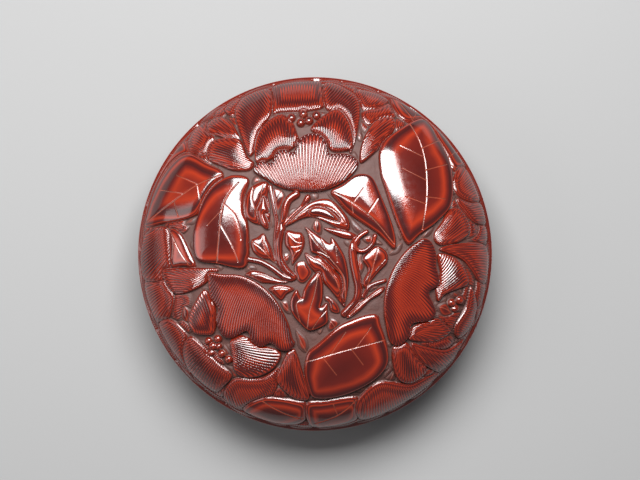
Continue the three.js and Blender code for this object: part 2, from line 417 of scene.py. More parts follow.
# -- top flower
form([(208, 148), (212.6, 141), (224.4, 138.4), (241, 141), (248, 157), (255, 164.4), (250, 171.5), (234, 171.5), (222, 166.7), (208, 159.7)],
     2.0, ribs=((300, 190), 2.2, 0.1, 0.24))
form([(359, 157), (363.6, 138.4), (375.4, 122), (392, 117), (395.5, 126.6), (387, 141), (375.4, 152.6), (361, 164.4)],
     2.0, ribs=((330, 190), 2.2, -0.15, 0.24))
form([(271.6, 86.5), (285.7, 80), (316.4, 79), (322.3, 84.2), (324.7, 105.4), (309.3, 111.3), (281, 112.5), (272.8, 112.5)],
     2.2, dome=0.7, tilt=(0, -0.2), ribs=((298, 230), 2.5, 0.0, 0.3))
form([(236, 105), (248, 91), (269, 88), (271.6, 112.5), (262, 129), (257, 148), (250, 157), (241, 136), (235, 117)],
     2.2, dome=0.5, ribs=((292, 190), 2.3, 0.25, 0.28))
form([(323.5, 84), (335, 82), (356.5, 96), (360, 112.5), (356.5, 136), (349.5, 155), (348, 131), (337.7, 112.5), (326, 109)],
     2.2, dome=0.5, ribs=((300, 190), 2.3, -0.3, 0.28))
form([(258, 165), (257, 141), (266, 124), (281, 115), (292, 122), (297, 134), (299, 142), (293, 150), (281, 156)],
     2.3, dome=0.5, ribs=((286, 195), 2.4, 0.1, 0.3), tilt=(0, 0.25))
form([(311, 129), (324, 116), (338, 110), (349, 125), (352, 148), (342, 153), (331, 152), (326, 143), (317, 136)],
     2.3, dome=0.5, ribs=((330, 200), 2.4, -0.1, 0.3), tilt=(0, 0.25))
for bx, by in ((291.6, 118.4), (303.4, 114.8), (316.4, 116), (301, 123.5), (309, 121.5)):
    bead(bx, by, 4.4, 2.5)
form([(254, 171.5), (262, 163), (271.6, 164.4), (277.5, 153.8), (285.7, 151.4), (294, 153.8), (297.5, 143), (307, 136), (318.8, 136),
      (327, 145.5), (329, 155), (337.7, 155.4), (347, 156), (355.4, 160.8), (357.7, 166.7), (349.5, 178.5), (335.3, 188),
      (318.8, 192.7), (300, 192.7), (281, 189), (267, 181)],
     2.6, dome=0.5, edge=1.2, rise=14, tilt=(0, 0.1), ribs=((307, 232), 2.7, 0.0, 0.32), under=1.3)

# -- leaves
form([(224, 174), (208, 164), (189, 153), (172.5, 159.7), (156, 181), (146.5, 202), (141.8, 225.7), (163, 223.4), (189, 218.7), (208, 209), (219.7, 192.7)],
     2.0, dome=0.9, rise=13, tilt=(0.2, 0.1),
     veins=[([(228, 174), (200, 186), (170, 206), (146, 222)], 0.6, 0.28), ([(200, 186), (178, 176)], 0.5, 0.22),
            ([(185, 195), (160, 190)], 0.5, 0.22), ([(200, 186), (203, 205)], 0.5, 0.22), ([(176, 202), (180, 217)], 0.5, 0.22)])
form([(222, 181), (236, 176), (250, 181), (245.6, 202), (250, 230.5), (250, 258.8), (243, 268), (219.7, 263.5), (198.4, 258.8), (195, 235), (201, 211.6), (210, 192.7)],
     2.4, dome=0.75, rise=14, tilt=(-0.15, 0.05),
     veins=[([(240, 184), (226, 205), (221, 240), (219, 262)], 0.7, 0.32), ([(226, 205), (238, 218), (243, 240)], 0.55, 0.26),
            ([(223, 225), (234, 245), (240, 262)], 0.55, 0.26), ([(225, 210), (210, 226)], 0.5, 0.22)], under=1.2)
form([(330.6, 192.7), (342.4, 185.6), (356.5, 176), (370.7, 178.5), (380, 197.4), (389.6, 221), (394.3, 240), (392, 249), (377.8, 235), (361, 223.4), (342.4, 211.6), (335.3, 202)],
     2.35, dome=0.7, rise=13, tilt=(0.0, -0.1),
     veins=[([(334, 194), (352, 204), (372, 220), (392, 244)], 0.7, 0.3), ([(352, 204), (362, 190)], 0.5, 0.24),
            ([(366, 215), (376, 200)], 0.5, 0.24), ([(350, 202), (352, 214)], 0.5, 0.22)], under=1.2)
form([(380, 148), (396.6, 131.4), (425, 117), (439, 138.4), (451, 164.4), (451, 202), (436.8, 221), (418, 235), (406, 244.6), (394.3, 221), (384.8, 192.7), (379, 171.5)],
     2.3, dome=0.8, rise=16, tilt=(0.05, 0.0),
     veins=[([(403, 112), (420, 150), (424, 190), (420, 230)], 0.65, 0.28), ([(420, 150), (440, 140)], 0.5, 0.22),
            ([(423, 172), (446, 165)], 0.5, 0.22), ([(420, 158), (398, 148)], 0.5, 0.22), ([(424, 182), (400, 170)], 0.5, 0.22),
            ([(423, 205), (404, 198)], 0.5, 0.22), ([(423, 198), (443, 200)], 0.5, 0.22)], under=1.2)
form([(307, 353), (318.8, 341.4), (342.4, 322.5), (373, 313), (380, 325), (387, 348.4), (384.8, 367), (366, 384), (337.7, 395.6), (311.7, 395.6), (304.6, 376.8)],
     2.3, dome=0.8, rise=14, tilt=(0.0, 0.1),
     veins=[([(305, 360), (330, 352), (355, 345), (384, 338)], 0.65, 0.28), ([(330, 352), (345, 330)], 0.5, 0.22),
            ([(350, 346), (362, 362)], 0.5, 0.22), ([(322, 354), (336, 372)], 0.5, 0.22), ([(355, 345), (370, 325)], 0.5, 0.22)], under=1.2)

# -- centre: stalks and small leaves
def C(points):
    """Points traced at 7.84 times the disc's own scale, from (220, 170)."""
    return [(220 + x / 7.84, 170 + y / 7.84) for x, y in points]


form(C([(390, 150), (480, 160), (520, 230), (480, 330), (450, 430), (410, 330), (385, 230)]), 1.1, dome=0.3, rise=5,
     veins=[(C([(490, 160), (460, 220), (430, 290)]), 0.5, 0.2)])
form(C([(840, 190), (900, 240), (980, 330), (1080, 430), (1150, 500), (1080, 520), (1010, 440), (960, 340), (880, 270)]), 0.9, dome=0.25, rise=5)
form(C([(200, 330), (208, 220), (255, 140), (350, 98), (395, 130), (382, 200), (400, 300), (400, 400), (392, 475), (330, 440), (270, 420), (220, 380)]),
     1.7, dome=0.5, rise=6, veins=[(C([(270, 150), (262, 240), (300, 340), (370, 455)]), 0.6, 0.3), (C([(345, 130), (330, 210), (320, 300)]), 0.5, 0.26)])
form(C([(300, 330), (325, 265), (350, 215), (378, 290), (388, 340), (362, 352), (390, 440), (372, 470), (325, 420)]), 2.0, dome=0.5, rise=4)
form(C([(250, 560), (300, 530), (350, 500), (385, 560), (425, 640), (480, 760), (400, 705), (330, 690), (270, 640)]), 1.5, dome=0.5, rise=5,
     veins=[(C([(260, 562), (340, 620), (460, 755)]), 0.5, 0.28), (C([(350, 505), (352, 575), (370, 640)]), 0.5, 0.24)])
form(C([(195, 830), (255, 785), (330, 795), (400, 825), (470, 850), (545, 870), (480, 895), (400, 885), (330, 880), (250, 850)]), 1.5, dome=0.45, rise=4,
     veins=[(C([(250, 830), (330, 815), (420, 850)]), 0.5, 0.24)])
form(C([(385, 930), (440, 898), (520, 898), (590, 930), (530, 965), (485, 1015), (420, 965)]), 1.5, dome=0.4, rise=4,
     veins=[(C([(400, 935), (480, 920), (570, 935)]), 0.5, 0.24)])
form(C([(520, 480), (590, 488), (645, 500), (668, 560), (648, 640), (605, 705), (570, 745), (555, 650), (515, 580)]), 1.4, dome=0.5, rise=4,
     veins=[(C([(540, 500), (600, 560), (640, 570)]), 0.5, 0.24), (C([(560, 600), (600, 600), (645, 590)]), 0.5, 0.2), (C([(575, 680), (600, 640), (640, 620)]), 0.5, 0.2)])
form(C([(810, 980), (860, 985), (920, 1040), (940, 1110), (880, 1110), (845, 1070)]), 1.2, dome=0.4, rise=4)
form(C([(590, 740), (640, 708), (690, 718), (732, 790), (700, 862), (640, 882), (588, 830)]), 1.2, dome=0.3, rise=4)
stem(C([(600, 200), (545, 240), (518, 300), (505, 400), (478, 500), (462, 600), (475, 700), (520, 780), (575, 835)]), 2.15, 4.0)
stem(C([(690, 225), (650, 300), (585, 360), (520, 430)]), 1.9, 3.0)
stem(C([(240, 700), (330, 720), (420, 770), (500, 830), (560, 850)]), 1.7, 2.6)
stem(C([(400, 140), (430, 300), (450, 420), (440, 560), (450, 700)]), 1.2, 2.2)
form(C([(520, 440), (600, 350), (700, 270), (800, 235), (880, 250), (960, 330), (1005, 400), (1005, 475), (940, 480), (880, 445), (800, 400), (720, 375), (640, 390), (560, 430)]),
     2.0, dome=0.5, rise=6, veins=[(C([(560, 420), (680, 320), (800, 290), (900, 330), (980, 430)]), 0.5, 0.28)])
form(C([(695, 335), (740, 298), (820, 308), (885, 350), (925, 405), (850, 392), (780, 372), (720, 362)]), 2.35, dome=0.35, rise=4)
form(C([(940, 470), (1020, 490), (1085, 532), (1000, 545), (900, 515), (810, 462), (880, 462)]), 1.6, dome=0.3, rise=3)
form(C([(668, 648), (740, 680), (790, 640), (850, 700), (930, 790), (905, 792), (962, 850), (985, 960), (972, 1065), (915, 1000), (850, 920), (790, 860), (735, 790), (690, 730)]),
     2.0, dome=0.5, rise=6, veins=[(C([(680, 662), (800, 740), (900, 850), (965, 1040)]), 0.6, 0.3)])
form(C([(668, 452), (730, 488), (800, 538), (858, 578), (868, 532), (902, 560), (942, 620), (972, 680), (992, 760), (1002, 860), (992, 960), (972, 1035), (945, 980), (960, 900),
        (940, 820), (880, 760), (820, 700), (760, 660), (716, 640), (700, 560), (690, 500)]),
     2.35, dome=0.5, rise=8, tilt=(-0.1, 0.15), under=1.3,
     veins=[(C([(676, 465), (760, 580), (860, 690), (960, 830), (975, 1000)]), 0.6, 0.32), (C([(720, 510), (760, 580)]), 0.5, 0.26), (C([(790, 540), (830, 650)]), 0.5, 0.26),
            (C([(760, 640), (800, 650), (850, 680)]), 0.5, 0.26), (C([(900, 600), (915, 720)]), 0.5, 0.26)])
stem(C([(1060, 560), (1035, 620), (1042, 720), (1062, 820), (1082, 920), (1062, 1020), (975, 1115)]), 2.15, 4.2)
stem(C([(1140, 488), (1085, 525), (1050, 580), (1075, 630), (1130, 632), (1185, 585), (1205, 520)]), 2.2, 2.2)
form(C([(1108, 700), (1160, 640), (1220, 598), (1292, 640), (1302, 720), (1240, 790), (1180, 862), (1140, 925), (1108, 880), (1150, 780)]), 1.9, dome=0.5, rise=6,
     veins=[(C([(1225, 610), (1190, 740), (1145, 905)]), 0.6, 0.3), (C([(1280, 700), (1210, 780)]), 0.5, 0.24)])
form(C([(990, 1140), (1075, 1040), (1150, 985), (1230, 925), (1300, 905), (1255, 965), (1170, 1015), (1090, 1095), (1010, 1150)]), 1.7, dome=0.4, rise=4,
     veins=[(C([(1010, 1130), (1130, 1020), (1270, 925)]), 0.5, 0.26)])
stem(C([(1120, 985), (1170, 905), (1290, 862)]), 1.6, 2.0)
form(C([(770, 795), (700, 860), (660, 930), (640, 992), (603, 932), (558, 1010), (568, 1110), (640, 1200), (700, 1245), (780, 1225), (842, 1180), (842, 1100), (837, 1032), (790, 1062),
        (803, 1000), (807, 920), (797, 840)]),
     2.3, dome=0.55, rise=8, under=1.3, tilt=(0.0, 0.1),
     veins=[(C([(768, 815), (740, 960), (700, 1100), (682, 1245)]), 0.6, 0.28), (C([(640, 1000), (600, 1050), (640, 1200)]), 0.5, 0.24), (C([(830, 1090), (770, 1160), (720, 1240)]), 0.5, 0.24)])

# -- lower-left flower
form([(163, 270.6), (177, 268), (208, 268), (219.7, 270.6), (200.8, 287), (177, 294), (165.4, 282.4)], 1.9, ribs=((232, 300), 2.2, 0.2, 0.26))
form([(189, 336.6), (200.8, 343.7), (215, 360), (231.5, 374.4), (224.4, 386), (212.6, 393), (189, 374.4), (182, 353)],
     2.0, ribs=((250, 320), 2.5, 0.1, 0.34))
form([(205.5, 289.4), (215, 301), (217.3, 315.4), (215, 332), (205.5, 334.3), (193.7, 332), (189, 320), (193.7, 306)],
     2.1, dome=0.7, ribs=((216, 380), 2.4, 0.2, 0.24))
form([(292.8, 346), (304.6, 376.8), (309.3, 398), (295, 398), (281, 386), (277.5, 374.4)], 2.0, ribs=((300, 320), 2.4, 0.3, 0.26))
form([(231.5, 339), (243.3, 334.3), (262, 343.7), (281, 350.8), (276.3, 365), (262, 374.4), (245.6, 376.8), (235, 369.7), (232.6, 353)],
     2.2, dome=0.6, ribs=((196, 322), 2.5, 0.25, 0.32))
for bx, by in ((209, 341), (218.5, 346), (211.4, 352), (222, 353.5), (218.5, 338.5), (229, 359), (213, 346)):
    bead(bx, by, 4.2, 2.3)
form([(211.4, 273), (224.4, 274), (243.3, 275.3), (262, 284.7), (276.3, 299), (288, 320), (292.8, 336.6), (295.2, 341.4), (290.5, 348.4),
      (281, 348.4), (271.6, 341.4), (262, 345), (252.7, 339), (248, 329.6), (233.8, 336.6), (224.4, 334.3), (217.3, 320), (219.7, 308.3),
      (212.6, 296.5), (210.2, 282.4)],
     2.5, dome=0.55, edge=1.2, rise=14, tilt=(0.0, 0.05), ribs=((330, 225), 2.5, 0.55, 0.3), under=1.3)

# -- right flower
form([(472, 287), (479, 306), (474.5, 327), (460, 339), (455.6, 327), (467, 308)], 1.9, ribs=((430, 310), 2.3, 0.1, 0.26))
form([(411, 327), (434, 318), (446, 325), (451, 332), (437, 341), (418, 341), (406, 337)], 1.9, ribs=((392, 318), 2.2, 0.2, 0.26))
form([(436.8, 254), (455.6, 258.8), (467.4, 275.3), (467.4, 284.7), (455.6, 289.4), (443.8, 294), (436.8, 301), (434.4, 287), (439, 273)],
     2.1, dome=0.6, ribs=((400, 300), 2.3, 0.3, 0.3))
for bx, by in ((455.6, 308.3), (460.4, 300.5), (452, 303)):
    bead(bx, by, 4.4, 2.2)
form([(422.6, 238.7), (429.7, 242.3), (434.4, 254), (434.4, 266), (436.8, 275.3), (436.8, 284.7), (427.3, 291.8), (432, 303.6), (434.4, 313),
      (427.3, 320), (410.8, 322.5), (408.4, 334.3), (399, 343.7), (389.6, 341.4), (384.8, 324.8), (382.5, 306), (384.8, 287), (392, 268),
      (403.7, 251.7), (415.5, 242.3)],
     2.5, dome=0.55, edge=1.2, rise=14, tilt=(0.05, 0.0), ribs=((340, 262), 2.5, -0.35, 0.3), under=1.3)

height = np.clip(height, 0.0, TOP + 0.05)


def sample(field, x, y):
    fx = np.clip((x - X0) * S, 0, SIZE - 1.001)
    fy = np.clip((y - Y0) * S, 0, SIZE - 1.001)
    ix, iy = fx.astype(int), fy.astype(int)
    tx, ty = fx - ix, fy - iy
    return (
        field[iy, ix] * (1 - tx) * (1 - ty)
        + field[iy, ix + 1] * tx * (1 - ty)
        + field[iy + 1, ix] * (1 - tx) * ty
        + field[iy + 1, ix + 1] * tx * ty
    )


# ------------------------------------------------------------- mesh helpers
def new_mesh(name, verts, quads, tris=None, attrs=None, uv=None, smooth_faces=True):
    me = bpy.data.meshes.new(name)
    nq = len(quads)
    nt = 0 if tris is None else len(tris)
    me.vertices.add(len(verts))
    me.vertices.foreach_set("co", np.asarray(verts, np.float32).ravel())
    me.loops.add(nq * 4 + nt * 3)
    loops = np.asarray(quads, np.int32).ravel()
    if nt:
        loops = np.concatenate([loops, np.asarray(tris, np.int32).ravel()])
    me.loops.foreach_set("vertex_index", loops)
    me.polygons.add(nq + nt)
    starts = np.arange(nq, dtype=np.int32) * 4
    if nt:
        starts = np.concatenate([starts, nq * 4 + np.arange(nt, dtype=np.int32) * 3])
    me.polygons.foreach_set("loop_start", starts)
    me.polygons.foreach_set("use_smooth", np.full(nq + nt, smooth_faces))
    me.update(calc_edges=True)
    me.validate()
    for key, values in (attrs or {}).items():
        a = me.attributes.new(key, "FLOAT", "POINT")
        a.data.foreach_set("value", np.asarray(values, np.float32))
    if uv is not None:
        layer = me.uv_layers.new(name="OFBake")
        vi = np.empty(len(me.loops), np.int32)
        me.loops.foreach_get("vertex_index", vi)
        layer.data.foreach_set("uv", np.asarray(uv, np.float32)[vi].ravel())
    ob = bpy.data.objects.new(name, me)
    bpy.context.scene.collection.objects.link(ob)
    return ob


def lathe(name, section, steps=192):
    """A closed turned solid from a section of (radius, height), in mm."""
    pts = [(max(r, 0.0), z) for r, z in section]
    area = sum(a[0] * b[1] - b[0] * a[1] for a, b in zip(pts, pts[1:] + pts[:1]))
    if area < 0:
        pts = pts[::-1]
    on_axis = pts[0][0] < 1e-6 and pts[-1][0] < 1e-6
    if not on_axis:
        for k, p in enumerate(pts):
            if p[0] < 1e-6:
                raise ValueError(name)
    verts, quads, tris = [], [], []
    ang = np.arange(steps) * 2 * math.pi / steps
    rings = []
    for r, z in pts:
        if r < 1e-6:
            rings.append([len(verts)])
            verts.append((0, 0, z * MM))
        else:
            rings.append(list(range(len(verts), len(verts) + steps)))
            verts.extend((r * MM * math.cos(a), r * MM * math.sin(a), z * MM) for a in ang)
    pairs = list(zip(rings, rings[1:])) + ([] if on_axis else [(rings[-1], rings[0])])
    for a, b in pairs:
        for k in range(steps):
            k2 = (k + 1) % steps
            if len(a) == 1 and len(b) == 1:
                continue
            if len(a) == 1:
                tris.append((a[0], b[k2], b[k]))
            elif len(b) == 1:
                tris.append((a[k], a[k2], b[0]))
            else:
                quads.append((a[k], a[k2], b[k2], b[k]))
    return new_mesh(name, verts, quads if quads else np.zeros((0, 4), int), tris or None)


def along(curve, depth, t0, t1, steps):
    t = np.linspace(t0, t1, steps + 1)
    r, z = curve(t, depth)
    return list(zip(r.tolist(), z.tolist()))


def find(curve, depth, axis, target):
    t = np.linspace(0, 1, 4001)
    return float(t[np.argmin(np.abs(curve(t, depth)[axis] - target))])


# ------------------------------------------------------------ carved coats
N = 840


def concentric(n):
    """Grid points of a square brought to the unit disc, and their quads."""
    u = np.linspace(-1, 1, n)
    a, b = np.meshgrid(u, u)
    big = np.abs(a) > np.abs(b)
    r = np.where(big, a, b)
    with np.errstate(divide="ignore", invalid="ignore"):
        phi = np.where(big, (math.pi / 4) * (b / a), (math.pi / 2) - (math.pi / 4) * (a / b))
    phi = np.where((a == 0) & (b == 0), 0, phi)
    x, y = r * np.cos(phi), r * np.sin(phi)
    idx = np.arange(n * n).reshape(n, n)
    quads = np.stack([idx[:-1, :-1], idx[:-1, 1:], idx[1:, 1:], idx[1:, :-1]], -1).reshape(-1, 4)
    edge = np.concatenate([idx[0, :-1], idx[:-1, -1], idx[-1, :0:-1], idx[:0:-1, 0]])
    return x.ravel(), y.ravel(), quads, edge


def arc_table(curve, low):
    """Samples the curve at 4001 steps from the axis out to the rim and returns t, r and z.
    The argument low is not used."""
    t = np.linspace(0, 1, 4001)
    r, z = curve(t)
    return t, r, z


def lid_profile():
    t = np.linspace(0, 1, 3001)
    r, z = lid_curve(t)
    nr, nz = cushion_normal(t, LID_SPRING, LID_RISE, LID_N, 1)
    rim_z = np.linspace(LID_SPRING, LID_RIM, 60)[1:]
    r = np.concatenate([r, np.full(len(rim_z), R)])
    z = np.concatenate([z, rim_z])
    nr = np.concatenate([nr, np.ones(len(rim_z))])
    nz = np.concatenate([nz, np.zeros(len(rim_z))])
    s = np.concatenate([[0], np.cumsum(np.hypot(np.diff(r), np.diff(z)))])
    r0 = 0.975 * R
    k = int(np.argmin(np.abs(r - r0)))
    design = np.where(np.arange(len(r)) < k, r, r[k] + (s - s[k]))
    return s, r, z, nr, nz, design


def base_profile():
    t0 = find(base_curve, 0.0, 0, FOOT_OUT + 0.3)
    t = np.linspace(1, t0, 3001)
    r, z = base_curve(t)
    nr, nz = cushion_normal(t, BASE_SPRING, BASE_RISE, BASE_N, -1)
    rim_z = np.linspace(SEAM, BASE_SPRING, 60)[:-1]
    r = np.concatenate([np.full(len(rim_z), R), r])
    z = np.concatenate([rim_z, z])
    nr = np.concatenate([np.ones(len(rim_z)), nr])
    nz = np.concatenate([np.zeros(len(rim_z)), nz])
    s = np.concatenate([[0], np.cumsum(np.hypot(np.diff(r), np.diff(z)))])
    return s, r, z, nr, nz


def carve(r, z, nr, nz, h, band):
    """Depth below the envelope at each point; band is 1 on plain borders."""
    depth = (TOP - h) * (1 - band) + 0.25 * band
    return r - nr * depth, z - nz * depth, depth


def smoothstep(a, b, x):
    t = np.clip((x - a) / (b - a), 0, 1)
    return t * t * (3 - 2 * t)


def carved_lid():
    s, r, z, nr, nz, design = lid_profile()
    x, y, quads, edge = concentric(N)
    q = np.hypot(x, y)
    ux = np.where(q > 1e-9, x / np.maximum(q, 1e-9), 1.0)
    uy = np.where(q > 1e-9, y / np.maximum(q, 1e-9), 0.0)
    total = s[-1]
    # more even steps in the design's own plane: radius runs with the arc
    at = q * total
    f = lambda a: np.interp(at, s, a)
    rr, zz, nrr, nzz, dd = f(r), f(z), f(nr), f(nz), f(design)
    dx = CX + ux * dd / UNIT
    dy = CY - uy * dd / UNIT
    h = sample(height, dx, dy)
    v = sample(vein, dx, dy)
    c = sample(cut, dx, dy)
    band = smoothstep(total - 1.5, total - 0.9, at)
    pr, pz, depth = carve(rr, zz, nrr, nzz, h, band)
    pz = np.maximum(pz, LID_RIM)
    verts = np.stack([pr * ux, pr * uy, pz], -1) * MM
    # the rim face and the inner surface close the shell
    ang_u, ang_v = ux[edge], uy[edge]
    inner = [(R - 0.6, LID_RIM), (R - COAT, LID_RIM)]
    inner += along(lid_curve, COAT, 1, 0, 20)[:-1]
    m = len(edge)
    rings = [edge]
    extra = []
    n0 = len(verts)
    for ir, iz in inner:
        rings.append(n0 + len(extra) * m + np.arange(m))
        extra.append(np.stack([ir * ang_u, ir * ang_v, np.full(m, iz)], -1) * MM)
    crown = n0 + len(extra) * m
    verts = np.concatenate([verts] + extra + [np.array([[0, 0, lid_curve(0.0, COAT)[1]]]) * MM])
    side = []
    for a, b in zip(rings, rings[1:]):
        a2, b2 = np.roll(a, -1), np.roll(b, -1)
        side.append(np.stack([a, b, b2, a2], -1))
    last = rings[-1]
    tris = np.stack([last, np.full(m, crown), np.roll(last, -1)], -1)
    quads = np.concatenate([quads] + side)
    pad = len(verts) - n0
    z_pad = np.zeros(pad)
    uv = np.concatenate([np.stack([0.25 + 0.24 * x, 0.5 + 0.48 * y], -1), np.zeros((pad, 2))])
    for i, (ir, iz) in enumerate(inner):
        k = 1 - i / (len(inner) + 1)
        sl = slice(n0 + i * m, n0 + (i + 1) * m)
        uv[sl, 0] = 0.75 + 0.24 * k * ang_u
        uv[sl, 1] = 0.5 + 0.48 * k * ang_v
    uv[crown] = (0.75, 0.5)
    return new_mesh(
        "carved_lid",
        verts,
        quads,
        tris,
        {
            "depth": np.concatenate([depth, z_pad + 0.3]),
            "line": np.concatenate([v * (1 - band), z_pad]),
            "ground": np.concatenate([np.maximum(c, smoothstep(1.9, 2.6, depth)) * (1 - band), z_pad]),
        },
        uv,
    )


def carved_base():
    s, r, z, nr, nz = base_profile()
    total = s[-1]
    na, ns = ((1900, 210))
    ang = np.arange(na) * 2 * math.pi / na
    at = np.linspace(0, total, ns)
    f = lambda a: np.interp(at, s, a)
    rr, zz, nrr, nzz = (f(a)[:, None] for a in (r, z, nr, nz))
    # the band of the design that lies along the rim, turned and mirrored down
    dd = (R + 5.6 - at)[:, None] / UNIT
    turn = math.radians(62)
    dx = CX + np.cos(ang + turn)[None, :] * dd
    dy = CY - np.sin(ang + turn)[None, :] * dd
    h = sample(height, dx, dy)
    v = sample(vein, dx, dy)
    c = sample(cut, dx, dy)
    band = (1 - smoothstep(0.9, 1.5, at) + smoothstep(total - 3.2, total - 2.4, at))[:, None]
    # the coat is thinner at the foot, and so is the cutting
    limit = np.interp(at, [0, total * 0.45, total], [1.0, 0.85, 0.4])[:, None]
    h = TOP - (TOP - h) * limit
    pr, pz, depth = carve(rr, zz, nrr, nzz, h, band)
    pz = np.minimum(pz, SEAM)
    band = np.broadcast_to(band, depth.shape)
    cu, cv = np.cos(ang), np.sin(ang)
    grid = np.stack([pr * cu, pr * cv, pz + 0 * pr], -1) * MM
    verts = [grid.reshape(-1, 3)]
    rings = [k * na + np.arange(na) for k in range(ns)]
    tin = find(base_curve, COAT, 1, PANEL_LOW - GLUE)
    inner = [(FOOT_OUT + 0.3, PANEL_LOW - GLUE)] if False else []
    inner += along(base_curve, COAT, tin, 1, 16) + [(R - COAT, SEAM), (R - 0.6, SEAM)]
    n0 = ns * na
    for ir, iz in inner:
        rings.append(n0 + np.arange(na))
        verts.append(np.stack([ir * cu, ir * cv, np.full(na, iz)], -1) * MM)
        n0 += na
    verts = np.concatenate(verts)
    quads = []
    for a, b in zip(rings, rings[1:] + rings[:1]):
        a2, b2 = np.roll(a, -1), np.roll(b, -1)
        quads.append(np.stack([a, b, b2, a2], -1))
    quads = np.concatenate(quads)
    pad = len(verts) - ns * na
    z_pad = np.zeros(pad)
    k = np.repeat(np.linspace(0.02, 0.78, ns), na)
    uv = np.stack([np.tile(np.arange(na) / na, ns), k], -1)
    uvp = np.stack(
        [np.tile(np.arange(na) / na, len(inner)), np.repeat(np.linspace(0.8, 0.98, len(inner)), na)], -1
    )
    return new_mesh(
        "carved_base",
        verts,
        quads,
        None,
        {
            "depth": np.concatenate([depth.ravel(), z_pad + 0.3]),
            "line": np.concatenate([(v * (1 - band)).ravel(), z_pad]),
            "ground": np.concatenate(
                [(np.maximum(c, smoothstep(2.35, 2.75, depth)) * (1 - band)).ravel(), z_pad]
            ),
        },
        np.concatenate([uv, uvp]),
    )


lid_coat = carved_lid()
base_coat = carved_base()

# ------------------------------------------------------- smooth turned pieces
def rounded(points, radius=0.25, steps=4):
    """Eases each corner of a section that isn't on the axis."""
    out = []
    n = len(points)
    for i, p in enumerate(points):
        a, b, c = np.array(points[i - 1]), np.array(p), np.array(points[(i + 1) % n])
        la, lc = np.linalg.norm(a - b), np.linalg.norm(c - b)
        if p[0] < 1e-6 or la < 1e-6 or lc < 1e-6:
            out.append(tuple(p))
            continue
        da, dc = (a - b) / la, (c - b) / lc
        if np.dot(da, dc) < -0.95:
            out.append(tuple(p))
            continue
        k = min(radius, la * 0.45, lc * 0.45)
        for j in range(steps + 1):
            t = j / steps
            q = (b + da * k) * (1 - t) ** 2 + 2 * b * t * (1 - t) + (b + dc * k) * t * t
            out.append((float(q[0]), float(q[1])))
    return out


LIP = 0.6  # the lining turns over the wood at the rims
lid_lining = lathe(
    "lid_lining_smooth",
    along(lid_curve, OUT_OF_LINING, 0, 1, 40)
    + [(R - OUT_OF_LINING, LID_RIM + LIP), (R - COAT - 0.1, LID_RIM + LIP), (R - COAT - 0.1, LID_RIM + 0.12),
       (R - COAT - 0.4, LID_RIM), (R - IN_OF_LINING + 0.3, LID_RIM), (R - IN_OF_LINING, LID_RIM + 0.3)]
    + along(lid_curve, IN_OF_LINING, 1, 0, 40),
)
floor_low = PANEL_LOW + CORE + GLUE
floor_top = floor_low + LINING
t_out = find(base_curve, OUT_OF_LINING, 1, floor_low)
t_in = find(base_curve, IN_OF_LINING, 1, floor_top)
base_inner = along(base_curve, IN_OF_LINING, 1, t_in, 30)
# a small sweep where the wall meets the floor
corner_r, corner_z = base_inner[-1]
base_lining = lathe(
    "base_lining_smooth",
    [(0, floor_low)]
    + along(base_curve, OUT_OF_LINING, t_out, 1, 30)
    + [(R - OUT_OF_LINING, SEAM - LIP), (R - COAT - 0.1, SEAM - LIP), (R - COAT - 0.1, SEAM - 0.12),
       (R - COAT - 0.4, SEAM), (R - IN_OF_LINING + 0.3, SEAM), (R - IN_OF_LINING, SEAM - 0.3)]
    + base_inner[:-1]
    + [(corner_r - 0.6, corner_z + 0.25), (corner_r - 2.0, floor_top + 0.02), (0, floor_top)],
)
flange = lathe(
    "locating_flange_smooth",
    rounded(
        [(FLANGE_OUT, FLANGE_LOW), (FLANGE_OUT, FLANGE_TOP), (FLANGE_OUT - FLANGE_WALL, FLANGE_TOP), (FLANGE_OUT - FLANGE_WALL, FLANGE_LOW)],
        0.7,
    ),
)
foot = lathe(
    "foot_ring_smooth",
    rounded(
        [(FOOT_IN, 0), (FOOT_OUT, 0), (FOOT_OUT, PANEL_LOW - GLUE), (FOOT_IN, PANEL_LOW - GLUE)],
        0.6,
    ),
)
bottom = lathe(
    "bottom_lacquer_smooth",
    [(0, PANEL_LOW - GLUE - LINING), (BOTTOM_R - 0.2, PANEL_LOW - GLUE - LINING), (BOTTOM_R, PANEL_LOW - GLUE - LINING + 0.2),
     (BOTTOM_R, PANEL_LOW - GLUE), (0, PANEL_LOW - GLUE)],
)


# hoops that stop short of the rims, under the lining's turned-over lip
def hoop(name, curve, t0, t1, rim):
    section = along(curve, OUT_OF_CORE, t0, t1, 12)
    if rim is not None:
        section += [(R - OUT_OF_CORE, rim), (R - IN_OF_CORE, rim)]
    section += along(curve, IN_OF_CORE, t1, t0, 12)
    return lathe(name, section)


lid_t = find(lid_curve, (OUT_OF_CORE + IN_OF_CORE) / 2, 0, 63.2)
lid_hoop = hoop("lid_rim_hoop", lid_curve, lid_t + 0.002, 1, LID_RIM + LIP + 0.2)
base_hoop = hoop("base_rim_hoop", base_curve, find(base_curve, OUT_OF_CORE, 1, 19.7), 1, SEAM - LIP - 0.2)


# ---------------------------------------------------------------- materials
def srgb(r, g, b):
    f = lambda c: c / 12.92 if c <= 0.04045 else ((c + 0.055) / 1.055) ** 2.4
    return (f(r / 255), f(g / 255), f(b / 255), 1.0)


